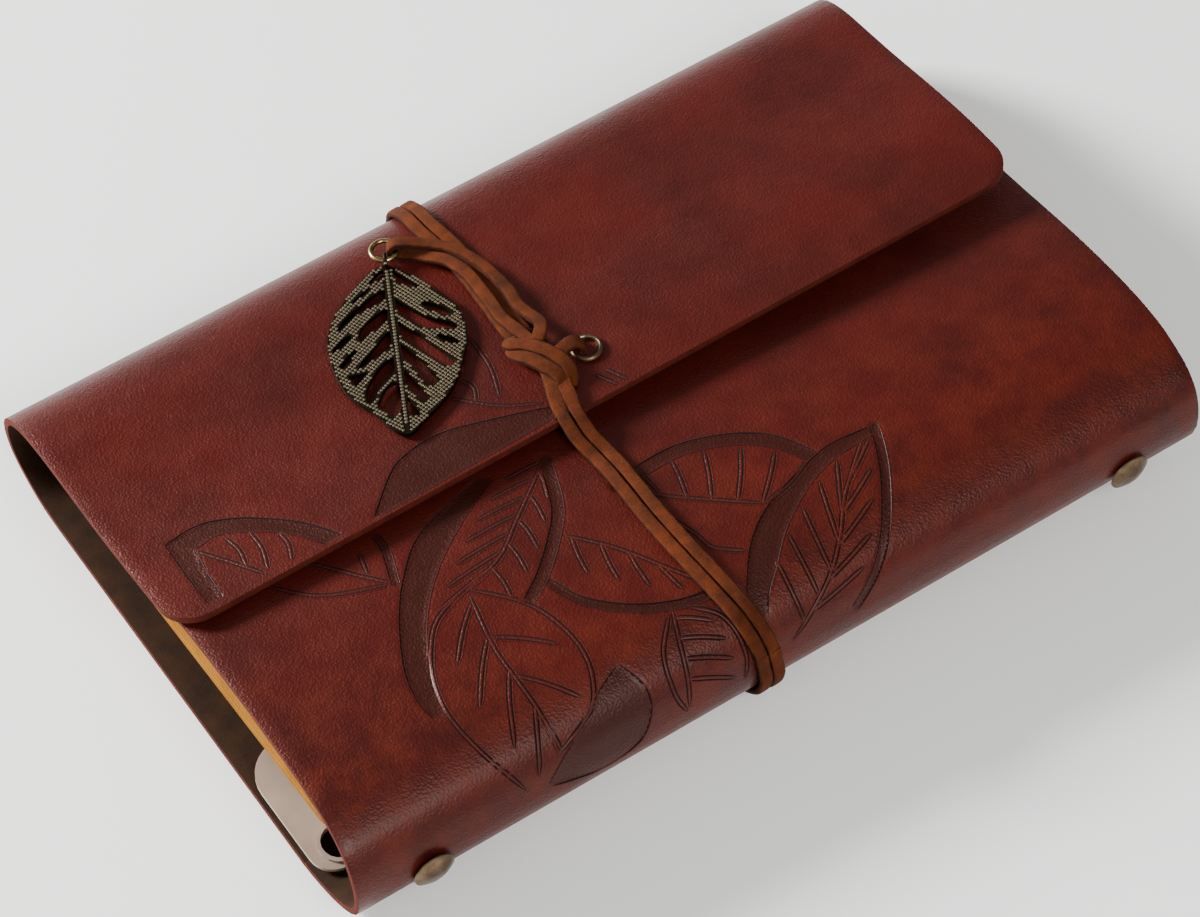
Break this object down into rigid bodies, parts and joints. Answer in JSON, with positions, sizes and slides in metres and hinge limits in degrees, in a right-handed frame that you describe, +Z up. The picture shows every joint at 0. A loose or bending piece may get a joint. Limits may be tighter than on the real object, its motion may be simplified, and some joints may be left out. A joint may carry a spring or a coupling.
{
  "type": "scrapbook album",
  "caption": "Wrap-round leather scrapbook album with a flap, ring-bound kraft leaves, an embossed leaf design and a knotted suede lace tie with a pierced leaf charm.",
  "frame": {"origin": "middle of the closed album's footprint, on the surface it lies on", "axes": "+X along the spine to the album's far end, +Y from the spine to the fore edge, +Z up through the front cover"},
  "size_m": [0.1872, 0.1275, 0.0333],
  "materials": {
    "cover_leather": "satin, fine grain, burnished emboss, undyed cut edges, dark suede inside",
    "ring_steel": "nickel-plated spring steel",
    "antique_brass": "antiqued, darkened in the recesses",
    "leaf_bronze": "blackened filigree with bright bead tops",
    "kraft_paper": "uncoated kraft paper, cut edges",
    "lifter_plastic": "moulded, semi-matt",
    "suede_lace": "napped suede, darker cut edges"
  },
  "bodies": {
    "binding": {"back_cover": "cover_leather", "spine_cover": "cover_leather", "ring_housing": "ring_steel", "rivet_near": "antique_brass", "rivet_far": "antique_brass", "rivet_burr_near": "antique_brass", "rivet_burr_far": "antique_brass", "rivet_spacer_near": "ring_steel", "rivet_spacer_far": "ring_steel", "lower_pages": "kraft_paper", "page_lifter": "lifter_plastic", "lace_round_back_near": "suede_lace", "lace_round_back_far": "suede_lace"},
    "flap": {"flap": "cover_leather", "eyelet": "antique_brass", "eyelet_washer": "antique_brass", "lace_over_flap_near": "suede_lace", "lace_over_flap_far": "suede_lace", "lace_tail": "suede_lace", "lace_knot": "suede_lace", "jump_ring": "antique_brass"},
    "front": {"front_cover": "cover_leather", "lace_over_front_near": "suede_lace", "lace_over_front_far": "suede_lace"},
    "upper_leaves": {"upper_pages": "kraft_paper"},
    "upper_rings": {"upper_blade": "ring_steel", "upper_half_ring_1": "ring_steel", "upper_half_ring_2": "ring_steel", "upper_half_ring_3": "ring_steel", "upper_half_ring_4": "ring_steel", "upper_half_ring_5": "ring_steel", "upper_half_ring_6": "ring_steel"},
    "lower_rings": {"lower_blade": "ring_steel", "lower_half_ring_1": "ring_steel", "lower_half_ring_2": "ring_steel", "lower_half_ring_3": "ring_steel", "lower_half_ring_4": "ring_steel", "lower_half_ring_5": "ring_steel", "lower_half_ring_6": "ring_steel"},
    "charm": {"leaf_charm": "leaf_bronze"}
  },
  "joints": [
    {"name": "flap_open", "type": "hinge", "parent": "binding", "child": "flap", "pos_m": [0, 0.064, 0.0098], "axis": [-1, 0, 0], "range_deg": [0, 150]},
    {"name": "front_cover_open", "type": "hinge", "parent": "binding", "child": "front", "pos_m": [0, -0.0624, 0.0195], "axis": [1, 0, 0], "range_deg": [0, 37.5]},
    {"name": "upper_pages_turn", "type": "hinge", "parent": "binding", "child": "upper_leaves", "pos_m": [0, -0.04502, 0.01353], "axis": [1, 0, 0], "range_deg": [0, 18]},
    {"name": "rings_open", "type": "hinge", "parent": "binding", "child": "upper_rings", "pos_m": [0, -0.0555, 0.01298], "axis": [1, 0, 0], "range_deg": [0, 5], "stiffness_Nm_per_rad": 0.1, "springref_deg": -3.44},
    {"name": "lower_rings_open", "type": "hinge", "parent": "binding", "child": "lower_rings", "pos_m": [0, -0.0555, 0.01298], "axis": [-1, 0, 0], "range_deg": [0, 5]},
    {"name": "leaf_swing", "type": "hinge", "parent": "flap", "child": "charm", "pos_m": [-0.01782, 0.04737, 0.02701], "axis": [-0.8949, 0.4444, -0.042], "range_deg": [0, 30]}
  ],
  "couplings": [
    {"joint": "front_cover_open", "follows": "flap_open", "ratio": 0.25},
    {"joint": "upper_pages_turn", "follows": "flap_open", "ratio": 0.12},
    {"joint": "lower_rings_open", "follows": "rings_open", "ratio": 1}
  ]
}
